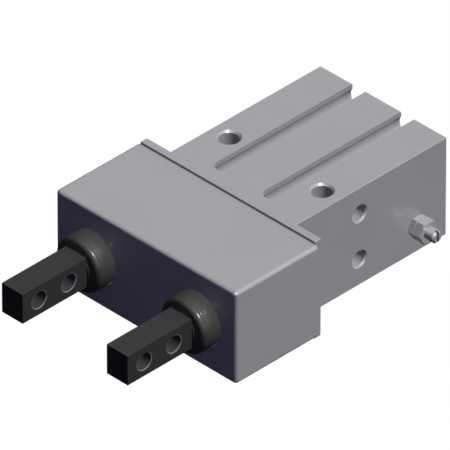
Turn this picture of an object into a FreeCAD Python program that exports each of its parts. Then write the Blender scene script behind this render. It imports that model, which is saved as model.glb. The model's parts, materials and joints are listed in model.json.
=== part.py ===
import FreeCAD, Part
import math
import os
import re

import Sketcher

# A pneumatic parallel gripper: an aluminium body with a 20 mm cylinder, a front cover
# over two ball guided jaws, and a cam plate on the piston rod that drives both jaws.
# Frame: origin on the underside, midway between the two mounting holes. +Z is up,
# the fingers point along -Y, and +X is the side with the speed control needle.
# Rest is the middle of the stroke. All sizes are millimetres.

Vector = FreeCAD.Vector
Rotation = FreeCAD.Rotation
TURNED_TO = {
    "X": Rotation(Vector(0, 1, 0), 90),
    "Y": Rotation(Vector(1, 0, 0), -90),
    "Z": Rotation(),
}

doc = FreeCAD.newDocument("parallel_gripper")
sheet = doc.addObject("Spreadsheet::Sheet", "Sizes")

# Driving sizes, by piece
DRIVING = {
    # body
    "body_wide": 42.0,
    "body_high": 28.0,
    "body_behind": 36.3,
    "body_ahead": 14.0,
    "body_edge": 0.12,
    "flange_inset": 1.0,
    "flange_thick": 2.0,
    "cylinder_bore": 20.0,
    "cam_room_side": 2.0,
    "cam_room_over": 0.8,
    "cam_room_deep": 6.0,
    # mounting holes and ports
    "hole_apart": 30.86,
    "hole_bore": 5.2,
    "hole_mouth": 6.2,
    "small_bore": 4.2,
    "small_mouth": 5.0,
    "side_hole_behind": 7.0,
    "side_hole_apart": 13.1,
    "side_hole_deep": 9.0,
    "rear_hole_deep": 8.0,
    "port_deep": 6.5,
    "port_passage": 2.0,
    "front_port_in": 1.6,
    "rear_port_in": 2.4,
    # switch grooves
    "groove_apart": 16.2,
    "groove_opening": 4.4,
    "groove_round": 5.4,
    "groove_lip": 1.3,
    "groove_ahead": 9.16,
    # front cover and its screws
    "cover_wide": 60.0,
    "cover_step": 0.8,
    "cover_long": 27.2,
    "cover_edge": 1.0,
    "cover_side": 2.0,
    "cover_roof": 1.6,
    "cover_face": 2.5,
    "cover_boss_in": 2.4,
    "cover_boss_down": 2.2,
    "cover_screw": 2.5,
    "cover_screw_long": 5.4,
    "cover_boss": 5.2,
    "cover_boss_long": 4.2,
    "cover_boss_floor": 0.5,
    # guide block and its screws
    "guide_boss_room": 0.7,
    "guide_wall": 3.5,
    "guide_nose": 6.0,
    "guide_arm": 3.5,
    "guide_roof_room": 0.2,
    "guide_window_side": 0.5,
    "guide_screw_in": 3.6,
    "guide_screw_down": 4.4,
    "guide_screw": 3.0,
    "guide_screw_long": 10.0,
    # ball rows
    "ball": 2.5,
    "ball_count": 3,
    "ball_pitch": 5.4,
    "ball_gap": 1.0,
    "cage_thick": 0.6,
    "cage_wide": 4.0,
    "cage_end": 0.7,
    # jaws and fingers
    "jaw_gap": 6.0,
    "jaw_outward": 8.0,
    "jaw_side_room": 0.5,
    "jaw_behind_gap": 1.0,
    "jaw_front_room": 0.6,
    "fork_room": 0.3,
    "fork_root": 2.5,
    "neck": 8.0,
    "finger_wide": 7.0,
    "finger_high": 8.4,
    "finger_long": 21.15,
    "finger_hole": 4.6,
    "finger_hole_first": 5.46,
    "finger_hole_pitch": 9.8,
    # rubber boots
    "boot": 14.86,
    "boot_out": 5.5,
    "boot_round": 1.5,
    "boot_wall": 1.2,
    "boot_flange_out": 1.32,
    "boot_flange_thick": 0.8,
    "boot_ring_thick": 0.8,
    # cam plate, pins and rollers
    "stroke": 8.0,
    "cam_slope": 0.5,
    "cam_corner": 1.5,
    "cam_thick": 5.0,
    "cam_wide": 25.0,
    "cam_front_room": 1.1,
    "cam_pin": 3.0,
    "cam_pin_out": 6.5,
    "pin_edge": 0.2,
    "cam_tail_wide": 6.0,
    "roller": 4.5,
    "cam_end_room": 0.4,
    "roller_end_room": 0.2,
    # piston and rod
    "rod": 8.0,
    "rod_end_behind": 4.2,
    "rod_edge": 0.4,
    "clevis_deep": 7.6,
    "clevis_pin": 2.4,
    "clevis_pin_in": 3.8,
    "clevis_pin_sunk": 0.3,
    "piston_long": 8.0,
    "piston_boss": 12.0,
    "piston_boss_long": 3.0,
    "piston_screw": 4.0,
    "piston_screw_head": 7.0,
    "piston_screw_head_tall": 2.8,
    "piston_screw_long": 14.0,
    "piston_head_room": 0.3,
    "ring_depth": 1.7,
    "piston_seal_in": 1.2,
    "piston_seal_long": 2.0,
    "magnet_in": 4.5,
    "magnet_long": 2.4,
    "magnet_depth": 2.4,
    # rod guide, bumpers, end cap and snap ring
    "rod_guide_long": 8.0,
    "rod_seal_thick": 2.2,
    "rod_seal_long": 2.8,
    "o_ring": 1.5,
    "o_ring_groove": 2.0,
    "guide_ring_in": 2.2,
    "bumper_thick": 1.4,
    "bumper_edge": 1.0,
    "bumper_bore_room": 0.7,
    "rear_bumper_edge": 2.5,
    "rear_bumper_ring": 4.5,
    "end_cap_long": 5.3,
    "snap_ring_in": 1.0,
    "cap_ring_in": 1.5,
    "cap_dish": 10.0,
    "cap_dish_deep": 1.2,
    "snap_ring_thick": 1.0,
    "snap_ring_wide": 1.9,
    "snap_groove_deep": 0.8,
    "snap_lug": 3.2,
    "snap_lug_hole": 1.4,
    "snap_lug_apart": 6.6,
    # speed control needle
    "needle_before_cap": 2.64,
    "needle_rise": 7.5,
    "needle": 3.3,
    "needle_out": 2.9,
    "needle_edge": 0.4,
    "needle_slot": 0.7,
    "needle_slot_deep": 0.9,
    "needle_neck": 2.4,
    "needle_neck_in": 5.8,
    "needle_ring": 3.7,
    "needle_ring_long": 1.2,
    "needle_land": 1.4,
    "needle_tip": 0.8,
    "needle_cone": 2.0,
    "needle_seat": 2.0,
    "needle_seat_room": 0.8,
    "needle_end_room": 0.1,
    "needle_feed": 1.0,
    "hex_across": 5.5,
    "hex_lead": 0.6,
    "bushing_hex": 1.65,
    "lock_nut_thick": 2.4,
    "bushing_shank": 4.4,
    "bushing_long": 4.5,
    # proportions of a flat head screw to its own diameter
    "screw_rim": 0.1,
    "screw_sink": 0.6,
    "screw_tip": 0.15,
    "screw_socket": 0.34,
    "screw_end_room": 0.8,
    # clearances
    "running_play": 0.05,
    "sliding_play": 0.03,
    "ball_play": 0.02,
    "press_play": 0.05,
    "screw_play": 0.05,
    "boot_play": 0.1,
    "bumper_play": 0.1,
    "lip_gap": 0.05,
    # how far a cutting shape stands out of the metal
    "past": 1.0,
}
for row, (alias, value) in enumerate(DRIVING.items(), start=1):
    sheet.set("A%d" % row, alias)
    sheet.set("B%d" % row, str(value))
    sheet.setAlias("B%d" % row, alias)
doc.recompute()

# Places worked out from the driving sizes, as expressions
PLACES = {}


def bound(text):
    """Write an expression with its size names pointing at the sheet."""
    def swap(match):
        word = match.group(0)
        if word in PLACES:
            return PLACES[word]
        return "Sizes." + word if word in DRIVING else word
    return re.sub(r"[a-z_]+", swap, text)


def place(name, text):
    PLACES[name] = "(" + bound(text) + ")"


def number(text):
    found = sheet.evalExpression(bound(text))
    return float(getattr(found, "Value", found))


place("mid", "body_high / 2")
place("flange_back", "-body_ahead")
place("flange_front", "-body_ahead - flange_thick")
place("body_back", "body_behind")
place("cam_room_back", "flange_front + cam_room_deep")
place("bore_radius", "cylinder_bore / 2")
place("hole_out", "hole_apart / 2")
place("groove_radius", "groove_round / 2")
place("groove_down", "groove_lip + sqrt(groove_radius ^ 2 - groove_opening ^ 2 / 4)")
place("groove_rise", "body_high - groove_down")

place("cover_front", "flange_front - cover_long")
place("cover_inside", "cover_front + cover_face")
place("cover_bottom", "cover_step")
place("cover_top", "body_high - cover_step")
place("cover_screw_apart", "cover_wide - 2 * cover_side - 2 * cover_boss_in")
place("cover_screw_rise", "body_high - 2 * cover_step - 2 * cover_roof - 2 * cover_boss_down")
place("flange_wide", "cover_wide - 2 * flange_inset")
place("guide_wide", "cover_screw_apart - cover_boss - 2 * guide_boss_room")
place("boss_end", "flange_front - cover_boss_long")

place("boot_flange", "boot + 2 * boot_flange_out")
place("boot_flange_back", "cover_inside + boot_flange_thick")
place("boot_ring_back", "boot_flange_back + boot_ring_thick")
place("jaw_travel", "stroke / 2 * cam_slope")
place("guide_wall_front", "flange_front - guide_wall")
place("jaw_back", "guide_wall_front - jaw_behind_gap")
place("jaw_front", "boot_ring_back + jaw_front_room")
place("ball_row", "(jaw_back + jaw_front) / 2")
place("guide_front", "ball_row - guide_nose")
place("guide_outer", "mid - cover_step - cover_roof - guide_roof_room")
place("guide_inner", "guide_outer - guide_arm")
place("jaw_half", "guide_inner - ball_gap")
place("ball_rise", "(guide_inner + jaw_half) / 2")
place("groove_apex", "(ball / 2 + ball_play) * sqrt(2)")
place("guide_screw_apart", "guide_wide - 2 * guide_screw_in")
place("guide_screw_rise", "2 * guide_outer - 2 * guide_screw_down")
place("jaw_inner", "jaw_gap / 2")
place("jaw_outer", "cover_wide / 2 - cover_side - jaw_travel - jaw_side_room")
place("jaw_out", "jaw_outer - jaw_outward")
place("fork_end", "cam_wide / 2 + fork_root")
place("fork_half", "cam_thick / 2 + fork_room")
place("cage_long", "(ball_count - 1) * ball_pitch + ball + 2 * cage_end")
place("cage_middle", "guide_wide / 2 - jaw_travel / 2 - cage_long / 2")
place("cam_room_half", "cam_thick / 2 + cam_room_over")
place("boot_front", "cover_front - boot_out")
place("finger_back", "boot_front - lip_gap")
place("finger_tip", "finger_back - finger_long")

place("cam_front", "boot_ring_back + stroke / 2 + cam_front_room")
place("pin_line", "(flange_front + cam_front) / 2")
place("roller_radius", "roller / 2")
place("slot_radius", "roller_radius + sliding_play")
place("slot_half_run", "stroke / 2 + cam_end_room")

place("snap_back", "body_back - snap_ring_in")
place("cap_back", "snap_back - snap_ring_thick")
place("cap_front", "cap_back - end_cap_long")
place("bumper_front", "cap_front - bumper_thick")
place("boss_back", "bumper_front - bumper_play - stroke / 2")
place("piston_back", "boss_back - piston_boss_long")
place("piston_front", "piston_back - piston_long")
place("front_bumper_back", "piston_front - bumper_play - stroke / 2")
place("guide_back", "front_bumper_back - bumper_thick")
place("bore_bottom", "guide_back - rod_guide_long")
place("front_port_line", "front_bumper_back + front_port_in")
place("rear_port_line", "bumper_front - rear_port_in")
place("rod_seal_radius", "rod / 2 + rod_seal_thick")
place("fitted_radius", "bore_radius - press_play")
place("piston_radius", "bore_radius - 2 * running_play")
place("piston_seat", "boss_back - piston_head_room - piston_screw_head_tall")
place("snap_radius", "bore_radius + snap_groove_deep - press_play")
place("snap_inner", "snap_radius - snap_ring_wide")
place("snap_lug_rise", "sqrt(snap_inner ^ 2 - snap_lug_apart ^ 2 / 4)")
place("rod_front", "flange_front + rod_end_behind")
place("clevis_back", "rod_front + clevis_deep")
place("clevis_pin_line", "rod_front + clevis_pin_in")

place("body_side", "body_wide / 2")
place("needle_line", "cap_front - needle_before_cap")
place("bushing_out", "body_side + bushing_hex")
place("nut_in", "bushing_out + press_play")
place("nut_out", "nut_in + lock_nut_thick")
place("needle_top", "nut_out + needle_out")
place("needle_neck_top", "body_side - needle_neck_in")
place("needle_neck_foot", "needle_neck_top - needle_ring_long - 2 * needle_end_room")
place("needle_land_foot", "needle_neck_foot - needle_land")
place("needle_foot", "needle_land_foot - needle_cone")
place("needle_wide_foot", "body_side - bushing_long - needle_end_room")
place("needle_hole", "needle_ring / 2 + running_play")
place("needle_seat_top", "needle_land_foot - needle_feed - needle_seat_room")

nodes = []


# Ways of making a shape
def keep(shape, label):
    """Name a finished piece; its label is the name of its file."""
    shape.Label = label
    nodes.append(shape)
    return shape


def put(piece, at):
    for axis, text in zip("xyz", at):
        piece.setExpression("Placement.Base." + axis, bound(text))


def block(name, wide, long, high):
    """A box from low to high along X, Y and Z."""
    box = doc.addObject("Part::Box", name)
    for side, (low, high_end) in zip(("Length", "Width", "Height"), (wide, long, high)):
        box.setExpression(side, bound("(%s) - (%s)" % (high_end, low)))
    put(box, (wide[0], long[0], high[0]))
    return box


def corner(axis, along, across):
    """Put a place along an axis and the two places across it in X, Y, Z order."""
    first, second = across
    return {"X": (along, first, second), "Y": (first, along, second), "Z": (first, second, along)}[axis]


def cylinder(name, axis, radius, span, across):
    low, high = span
    made = doc.addObject("Part::Cylinder", name)
    made.setExpression("Radius", bound(radius))
    made.setExpression("Height", bound("(%s) - (%s)" % (high, low)))
    made.Placement = FreeCAD.Placement(Vector(), TURNED_TO[axis])
    put(made, corner(axis, low, across))
    return made


def cone(name, axis, low_radius, high_radius, span, across):
    low, high = span
    made = doc.addObject("Part::Cone", name)
    made.setExpression("Radius1", bound(low_radius))
    made.setExpression("Radius2", bound(high_radius))
    made.setExpression("Height", bound("(%s) - (%s)" % (high, low)))
    made.Placement = FreeCAD.Placement(Vector(), TURNED_TO[axis])
    put(made, corner(axis, low, across))
    return made


def joined(name, pieces):
    made = doc.addObject("Part::MultiFuse", name)
    made.Shapes = pieces
    return made


def cut(name, base, tools):
    made = doc.addObject("Part::Cut", name)
    made.Base = base
    made.Tool = tools[0] if len(tools) == 1 else joined(name + "_tools", tools)
    return made


def grouped(name, pieces):
    made = doc.addObject("Part::Compound", name)
    made.Links = pieces
    return made


def mirrored(name, source):
    made = doc.addObject("Part::Mirroring", name)
    made.Source = source
    made.Normal = Vector(1, 0, 0)
    return made


def both_sides(name, source):
    """Keep a right hand piece and its left hand copy."""
    keep(source, name + "_right")
    keep(mirrored(name + "_left", source), name + "_left")


def hold(sketch, kind, geometry, point, text):
    """Tie one point of a sketch to the sketch's origin."""
    made = Sketcher.Constraint(kind, -1, 1, geometry, point, number(text))
    sketch.setExpression("Constraints[%d]" % sketch.addConstraint(made), bound(text))


def sketch_on(body, plane, level="0"):
    sketch = body.newObject("Sketcher::SketchObject", body.Name + "_sketch")
    origin = next(part for part in body.Origin.OriginFeatures if part.Role == plane)
    sketch.AttachmentSupport = [(origin, "")]
    sketch.MapMode = "FlatFace"
    sketch.setExpression("AttachmentOffset.Base.z", bound(level))
    return sketch


def outline(sketch, points):
    """A closed outline of straight lines through the given points."""
    first = sketch.GeometryCount
    count = len(points)
    corners = [Vector(number(across), number(up), 0) for across, up in points]
    for step in range(count):
        sketch.addGeometry(Part.LineSegment(corners[step], corners[(step + 1) % count]))
    for step in range(count):
        following = first + (step + 1) % count
        sketch.addConstraint(Sketcher.Constraint("Coincident", first + step, 2, following, 1))
    for step, (across, up) in enumerate(points):
        hold(sketch, "DistanceX", first + step, 1, across)
        hold(sketch, "DistanceY", first + step, 1, up)


def ring_line(sketch, across, up, radius):
    """A circle in a sketch."""
    centre = Vector(number(across), number(up), 0)
    made = sketch.addGeometry(Part.Circle(centre, Vector(0, 0, 1), number(radius)))
    hold(sketch, "DistanceX", made, 3, across)
    hold(sketch, "DistanceY", made, 3, up)
    limit = sketch.addConstraint(Sketcher.Constraint("Radius", made, number(radius)))
    sketch.setExpression("Constraints[%d]" % limit, bound(radius))


def slot_line(sketch, start, end, radius):
    """A slot in a sketch: two half circles joined by two tangent lines."""
    ends = [Vector(number(across), number(up), 0) for across, up in (start, end)]
    turn = math.atan2(ends[1].y - ends[0].y, ends[1].x - ends[0].x)
    around = number(radius)
    quarter = math.pi / 2
    arcs = []
    for centre, first in zip(ends, (turn + quarter, turn - quarter)):
        circle = Part.Circle(centre, Vector(0, 0, 1), around)
        arcs.append(Part.ArcOfCircle(circle, first, first + math.pi))
    one = sketch.addGeometry(arcs[0])
    low = sketch.addGeometry(Part.LineSegment(arcs[0].EndPoint, arcs[1].StartPoint))
    two = sketch.addGeometry(arcs[1])
    top = sketch.addGeometry(Part.LineSegment(arcs[1].EndPoint, arcs[0].StartPoint))
    for before, after in ((one, low), (low, two), (two, top), (top, one)):
        sketch.addConstraint(Sketcher.Constraint("Tangent", before, 2, after, 1))
    sketch.addConstraint(Sketcher.Constraint("Equal", one, two))
    for arc, (across, up) in ((one, start), (two, end)):
        hold(sketch, "DistanceX", arc, 3, across)
        hold(sketch, "DistanceY", arc, 3, up)
    limit = sketch.addConstraint(Sketcher.Constraint("Radius", one, around))
    sketch.setExpression("Constraints[%d]" % limit, bound(radius))


def extruded(body, kind, sketch, length):
    """Pad or pocket a sketch; a pocket has to take material away."""
    doc.recompute()
    before = 0 if body.Shape.isNull() else body.Shape.Volume
    made = body.newObject("PartDesign::" + kind, body.Name + "_" + kind.lower())
    made.Profile = sketch
    made.setExpression("Length", bound(length))
    body.Tip = made
    doc.recompute()
    if kind == "Pocket" and body.Shape.Volume > before - 1e-6:
        raise RuntimeError("a pocket of %s took nothing away" % body.Label)
    return made


def edges_of(feature, test):
    """Names of a feature's edges whose ends all pass a test."""
    doc.recompute()
    found = []
    for count, edge in enumerate(feature.Shape.Edges, start=1):
        if test(edge):
            found.append("Edge%d" % count)
    return found


def dressed(body, kind, feature, size_name, amount, test):
    """Fillet or chamfer the edges that pass a test."""
    made = body.newObject("PartDesign::" + kind, body.Name + "_" + kind.lower())
    made.Base = (feature, edges_of(feature, test))
    made.setExpression(size_name, bound(amount))
    body.Tip = made
    return made


def turned(name, axis, points, at=("0", "0", "0")):
    """A piece turned on a lathe: each point is its place along the axis and its radius."""
    body = doc.addObject("PartDesign::Body", name)
    sketch = sketch_on(body, "XZ_Plane" if axis == "Z" else "XY_Plane")
    if axis == "X":
        outline(sketch, points)
    else:
        outline(sketch, [(radius, along) for along, radius in points])
    made = body.newObject("PartDesign::Revolution", name + "_turn")
    made.Profile = sketch
    made.ReferenceAxis = (sketch, ["H_Axis" if axis == "X" else "V_Axis"])
    made.Angle = 360
    body.Tip = made
    put(body, at)
    return body


def ring(name, axis, span, inner, outer, at):
    """A plain ring of square section."""
    low, high = span
    return turned(name, axis, [(low, inner), (high, inner), (high, outer), (low, outer)], at)


def tapped_hole(name, axis, across, mouth_at, inward, deep, bore, mouth):
    """A hole with a chamfered mouth; inward is the sign of the way into the metal."""
    lead = "((%s) - (%s)) / 2" % (mouth, bore)
    if inward > 0:
        hole_span = ("%s - past" % mouth_at, "%s + %s" % (mouth_at, deep))
        lead_span = (mouth_at, "%s + %s" % (mouth_at, lead))
        radii = ("(%s) / 2" % mouth, "(%s) / 2" % bore)
    else:
        hole_span = ("%s - (%s)" % (mouth_at, deep), "%s + past" % mouth_at)
        lead_span = ("%s - %s" % (mouth_at, lead), mouth_at)
        radii = ("(%s) / 2" % bore, "(%s) / 2" % mouth)
    hole = cylinder(name + "_bore", axis, "(%s) / 2" % bore, hole_span, across)
    return [hole, cone(name + "_mouth", axis, radii[0], radii[1], lead_span, across)]


def stretch(start, way, near, far):
    """The span from near to far along a way, low end first; way is a sign."""
    ends = ("%s %s (%s)" % (start, way, near), "%s %s (%s)" % (start, way, far))
    return ends if way == "+" else ends[::-1]


def countersunk_screw(name, size_name, length, head_at, way, across):
    """A flat head screw with a hex socket, driven along Y from its head face."""
    def along(text):
        return "%s %s (%s)" % (head_at, way, text)
    shank = "%s / 2" % size_name
    points = [
        (head_at, "0"),
        (head_at, size_name),
        (along("%s * screw_rim" % size_name), size_name),
        (along("%s * screw_sink" % size_name), shank),
        (along("%s - %s * screw_tip" % (length, size_name)), shank),
        (along(length), "%s - %s * screw_tip" % (shank, size_name)),
        (along(length), "0"),
    ]
    blank = turned(name + "_blank", "Y", points, (across[0], "0", across[1]))
    socket = doc.addObject("Part::Prism", name + "_socket")
    socket.Polygon = 6
    socket.setExpression("Circumradius", bound("%s * screw_socket" % size_name))
    low, high = stretch(head_at, way, "-past", "%s / 2" % size_name)
    socket.setExpression("Height", bound("(%s) - (%s)" % (high, low)))
    socket.Placement = FreeCAD.Placement(Vector(), TURNED_TO["Y"])
    put(socket, (across[0], low, across[1]))
    return cut(name, blank, [socket])


def screw_hole(name, size_name, head_at, way, deep, across):
    """The countersunk clearance hole for such a screw."""
    wide = "%s / 2 + screw_play" % size_name
    head = "%s + screw_play" % size_name
    rim, sink = "%s * screw_rim" % size_name, "%s * screw_sink" % size_name
    radii = (head, wide) if way == "+" else (wide, head)
    return [
        cylinder(name + "_bore", "Y", wide, stretch(head_at, way, "0", deep), across),
        cone(name + "_sink", "Y", radii[0], radii[1], stretch(head_at, way, rim, sink), across),
        cylinder(name + "_rim", "Y", head, stretch(head_at, way, "-past", rim), across),
    ]


def four_corners(apart, rise):
    """The four places of a rectangular screw pattern about the middle of the front."""
    for x_sign in ("", "-"):
        for z_sign in ("+", "-"):
            yield ("%s(%s) / 2" % (x_sign, apart), "mid %s (%s) / 2" % (z_sign, rise))


def hexagon(name, span, across):
    """A hexagonal bar along X with two flats level."""
    low, high = span
    made = doc.addObject("Part::Prism", name)
    made.Polygon = 6
    made.setExpression("Circumradius", bound("hex_across / sqrt(3)"))
    made.setExpression("Height", bound("(%s) - (%s)" % (high, low)))
    made.Placement = FreeCAD.Placement(Vector(), Rotation(Vector(1, 1, 1), 120))
    put(made, (low, across[0], across[1]))
    return made


def nut_form(name, span, across):
    """A hexagon with its corners turned off at both ends."""
    low, high = span
    wide = "hex_across / sqrt(3)"
    lead = "(hex_across / sqrt(3) - hex_across / 2) * hex_lead"
    points = [
        (low, "0"),
        (low, "hex_across / 2"),
        ("%s + %s" % (low, lead), wide),
        ("%s - %s" % (high, lead), wide),
        (high, "hex_across / 2"),
        (high, "0"),
    ]
    blank = turned(name + "_blank", "X", points, ("0", across[0], across[1]))
    made = doc.addObject("Part::Common", name)
    made.Base = hexagon(name + "_bar", span, across)
    made.Tool = blank
    return made


# The body: one machined block with an integral flange. Its long edges are broken.
def broken_rectangle(wide, high):
    """A rectangle about the middle of the front with its corners cut off."""
    side = "%s / 2" % wide
    inset = "%s - body_edge" % side
    low, top = "mid - %s / 2" % high, "mid + %s / 2" % high
    low_in, top_in = low + " + body_edge", top + " - body_edge"
    return [
        ("-(%s)" % inset, low), (inset, low), (side, low_in), (side, top_in),
        (inset, top), ("-(%s)" % inset, top), ("-(%s)" % side, top_in), ("-(%s)" % side, low_in),
    ]


def make_body():
    stock = doc.addObject("PartDesign::Body", "body_stock")
    sketch = sketch_on(stock, "XZ_Plane", "-body_back")
    outline(sketch, broken_rectangle("body_wide", "body_high"))
    barrel = extruded(stock, "Pad", sketch, "body_back - flange_back")
    rear = number("body_back")
    dressed(stock, "Chamfer", barrel, "Size", "body_edge",
            lambda edge: all(abs(end.Y - rear) < 1e-6 for end in edge.Vertexes))
    sketch = sketch_on(stock, "XZ_Plane", "-flange_back")
    outline(sketch, broken_rectangle("flange_wide", "body_high"))
    extruded(stock, "Pad", sketch, "flange_thick")

    tools = [
        cylinder("cylinder_bore", "Y", "bore_radius", ("bore_bottom", "body_back + past"), ("0", "mid")),
        cylinder("rod_hole", "Y", "rod / 2 + 4 * running_play", ("flange_front - past", "bore_bottom + past"),
                 ("0", "mid")),
        block("cam_room", ("-cam_wide / 2 - cam_room_side", "cam_wide / 2 + cam_room_side"),
              ("flange_front - past", "cam_room_back"), ("mid - cam_room_half", "mid + cam_room_half")),
        cylinder("snap_groove", "Y", "bore_radius + snap_groove_deep",
                 ("cap_back", "snap_back + press_play"), ("0", "mid")),
        cone("bore_lead", "Y", "bore_radius", "bore_radius + snap_groove_deep / 2",
             ("body_back - snap_groove_deep / 2", "body_back"), ("0", "mid")),
    ]
    for sign, side in (("", "right"), ("-", "left")):
        out = sign + "hole_out"
        tools += tapped_hole("top_hole_" + side, "Z", (out, "0"), "body_high", -1,
                             "body_high + past", "hole_bore", "hole_mouth")
        tools.append(cone("bottom_hole_" + side, "Z", "hole_mouth / 2", "hole_bore / 2",
                          ("0", "(hole_mouth - hole_bore) / 2"), (out, "0")))
        tools += tapped_hole("rear_hole_" + side, "Y", (out, "mid"), "body_back", -1,
                             "rear_hole_deep", "small_bore", "small_mouth")
        for height, rise in (("upper", "mid + side_hole_apart / 2"), ("lower", "mid - side_hole_apart / 2")):
            tools += tapped_hole("side_hole_%s_%s" % (height, side), "X", ("side_hole_behind", rise),
                                 sign + "body_side", 1 if sign else -1, "side_hole_deep",
                                 "small_bore", "small_mouth")
        line = sign + "groove_apart / 2"
        tools += [
            block("groove_opening_" + side, (line + " - groove_opening / 2", line + " + groove_opening / 2"),
                  ("-groove_ahead", "body_back + past"), ("groove_rise", "body_high + past")),
            cylinder("groove_entry_" + side, "Z", "groove_opening / 2", ("groove_rise", "body_high + past"),
                     (line, "-groove_ahead")),
            cylinder("groove_tunnel_" + side, "Y", "groove_radius", ("-groove_ahead", "body_back + past"),
                     (line, "groove_rise")),
        ]
        nose = doc.addObject("Part::Sphere", "groove_nose_" + side)
        nose.setExpression("Radius", bound("groove_radius"))
        put(nose, (line, "-groove_ahead", "groove_rise"))
        tools.append(nose)
    for name, line in (("front_port", "front_port_line"), ("rear_port", "rear_port_line")):
        tools += tapped_hole(name, "X", (line, "mid"), "-body_side", 1, "port_deep",
                             "small_bore", "small_mouth")
        tools.append(cylinder(name + "_passage", "X", "port_passage / 2",
                              ("-body_side", "-bore_radius / 2"), (line, "mid")))
    needle_at = ("needle_line", "needle_rise")
    tools += [
        cylinder("bushing_hole", "X", "bushing_shank / 2 + screw_play",
                 ("body_side - bushing_long", "body_side + past"), needle_at),
        cylinder("needle_room", "X", "needle_hole", ("needle_seat_top", "body_side"), needle_at),
        cylinder("needle_passage", "X", "needle_seat / 2", ("bore_radius / 2", "body_side"), needle_at),
    ]
    for count, across in enumerate(four_corners("cover_screw_apart", "cover_screw_rise")):
        tools += screw_hole("cover_screw_hole_%d" % count, "cover_screw", "flange_back", "-",
                            "flange_thick + past", across)
    for count, across in enumerate(four_corners("guide_screw_apart", "guide_screw_rise")):
        tools.append(cylinder("guide_thread_%d" % count, "Y", "guide_screw / 2 + screw_play",
                              ("flange_front - past", "guide_wall_front + guide_screw_long + screw_end_room"),
                              across))
    keep(cut("body", stock, tools), "body")


make_body()


# The front cover: one hollow box with rounded edges, four screw bosses and two openings.
def rectangle(left, right, low, top):
    return [(left, low), (right, low), (right, top), (left, top)]


def make_front_cover():
    cover = doc.addObject("PartDesign::Body", "front_cover")
    sketch = sketch_on(cover, "XZ_Plane", "-flange_front")
    outline(sketch, rectangle("-cover_wide / 2", "cover_wide / 2", "cover_bottom", "cover_top"))
    shell = extruded(cover, "Pad", sketch, "cover_long")
    rear = number("flange_front")
    dressed(cover, "Fillet", shell, "Radius", "cover_edge",
            lambda edge: any(end.Y < rear - 1e-6 for end in edge.Vertexes))
    sketch = sketch_on(cover, "XZ_Plane", "-cover_inside")
    side = "cover_wide / 2 - cover_side"
    outline(sketch, rectangle("-(%s)" % side, side, "cover_bottom + cover_roof", "cover_top - cover_roof"))
    extruded(cover, "Pocket", sketch, "cover_long - cover_face")
    sketch = sketch_on(cover, "XZ_Plane", "-flange_front")
    for across, up in four_corners("cover_screw_apart", "cover_screw_rise"):
        ring_line(sketch, across, up, "cover_boss / 2")
    extruded(cover, "Pad", sketch, "cover_boss_long")
    sketch = sketch_on(cover, "XZ_Plane", "-(boss_end + cover_boss_floor)")
    for across, up in four_corners("cover_screw_apart", "cover_screw_rise"):
        ring_line(sketch, across, up, "cover_screw / 2 + screw_play")
    extruded(cover, "Pocket", sketch, "cover_boss_long - cover_boss_floor")
    sketch = sketch_on(cover, "XZ_Plane", "-cover_front")
    for sign in ("", "-"):
        ring_line(sketch, sign + "jaw_out", "mid", "boot / 2 + boot_play")
    extruded(cover, "Pocket", sketch, "cover_face")
    keep(cover, "front_cover")


make_front_cover()


# Four flat head screws from behind the flange hold the cover.
keep(grouped("cover_screws", [
    countersunk_screw("cover_screw_%d" % count, "cover_screw", "cover_screw_long", "flange_back", "-", across)
    for count, across in enumerate(four_corners("cover_screw_apart", "cover_screw_rise"))
]), "cover_screws")


# The guide block: a hardened steel channel with a ball groove in each arm.
def make_guide_block():
    stock = doc.addObject("PartDesign::Body", "guide_stock")
    inner, outer = "guide_inner", "guide_outer"
    dip = "ball_rise + groove_apex"
    half = "ball_rise + groove_apex - guide_inner"

    def arm(way):
        """The outline of one arm, from the channel's back to its free end and in again."""
        return [
            ("flange_front", "mid %s %s" % (way, outer)),
            ("guide_front", "mid %s %s" % (way, outer)),
            ("guide_front", "mid %s %s" % (way, inner)),
            ("ball_row - (%s)" % half, "mid %s %s" % (way, inner)),
            ("ball_row", "mid %s (%s)" % (way, dip)),
            ("ball_row + (%s)" % half, "mid %s %s" % (way, inner)),
            ("guide_wall_front", "mid %s %s" % (way, inner)),
        ]
    sketch = sketch_on(stock, "YZ_Plane", "-guide_wide / 2")
    outline(sketch, arm("+") + arm("-")[::-1])
    extruded(stock, "Pad", sketch, "guide_wide")
    sketch = sketch_on(stock, "XZ_Plane", "-guide_wall_front")
    outline(sketch, rectangle("-cam_wide / 2 - guide_window_side", "cam_wide / 2 + guide_window_side",
                              "mid - cam_room_half", "mid + cam_room_half"))
    extruded(stock, "Pocket", sketch, "guide_wall")
    tools = []
    for count, across in enumerate(four_corners("guide_screw_apart", "guide_screw_rise")):
        tools += screw_hole("guide_screw_hole_%d" % count, "guide_screw", "guide_wall_front", "+",
                            "guide_wall + past", across)
    keep(cut("guide_block", stock, tools), "guide_block")


make_guide_block()


# Four flat head screws hold the guide block to the body.
keep(grouped("guide_screws", [
    countersunk_screw("guide_screw_%d" % count, "guide_screw", "guide_screw_long", "guide_wall_front", "+",
                      across)
    for count, across in enumerate(four_corners("guide_screw_apart", "guide_screw_rise"))
]), "guide_screws")


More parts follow.
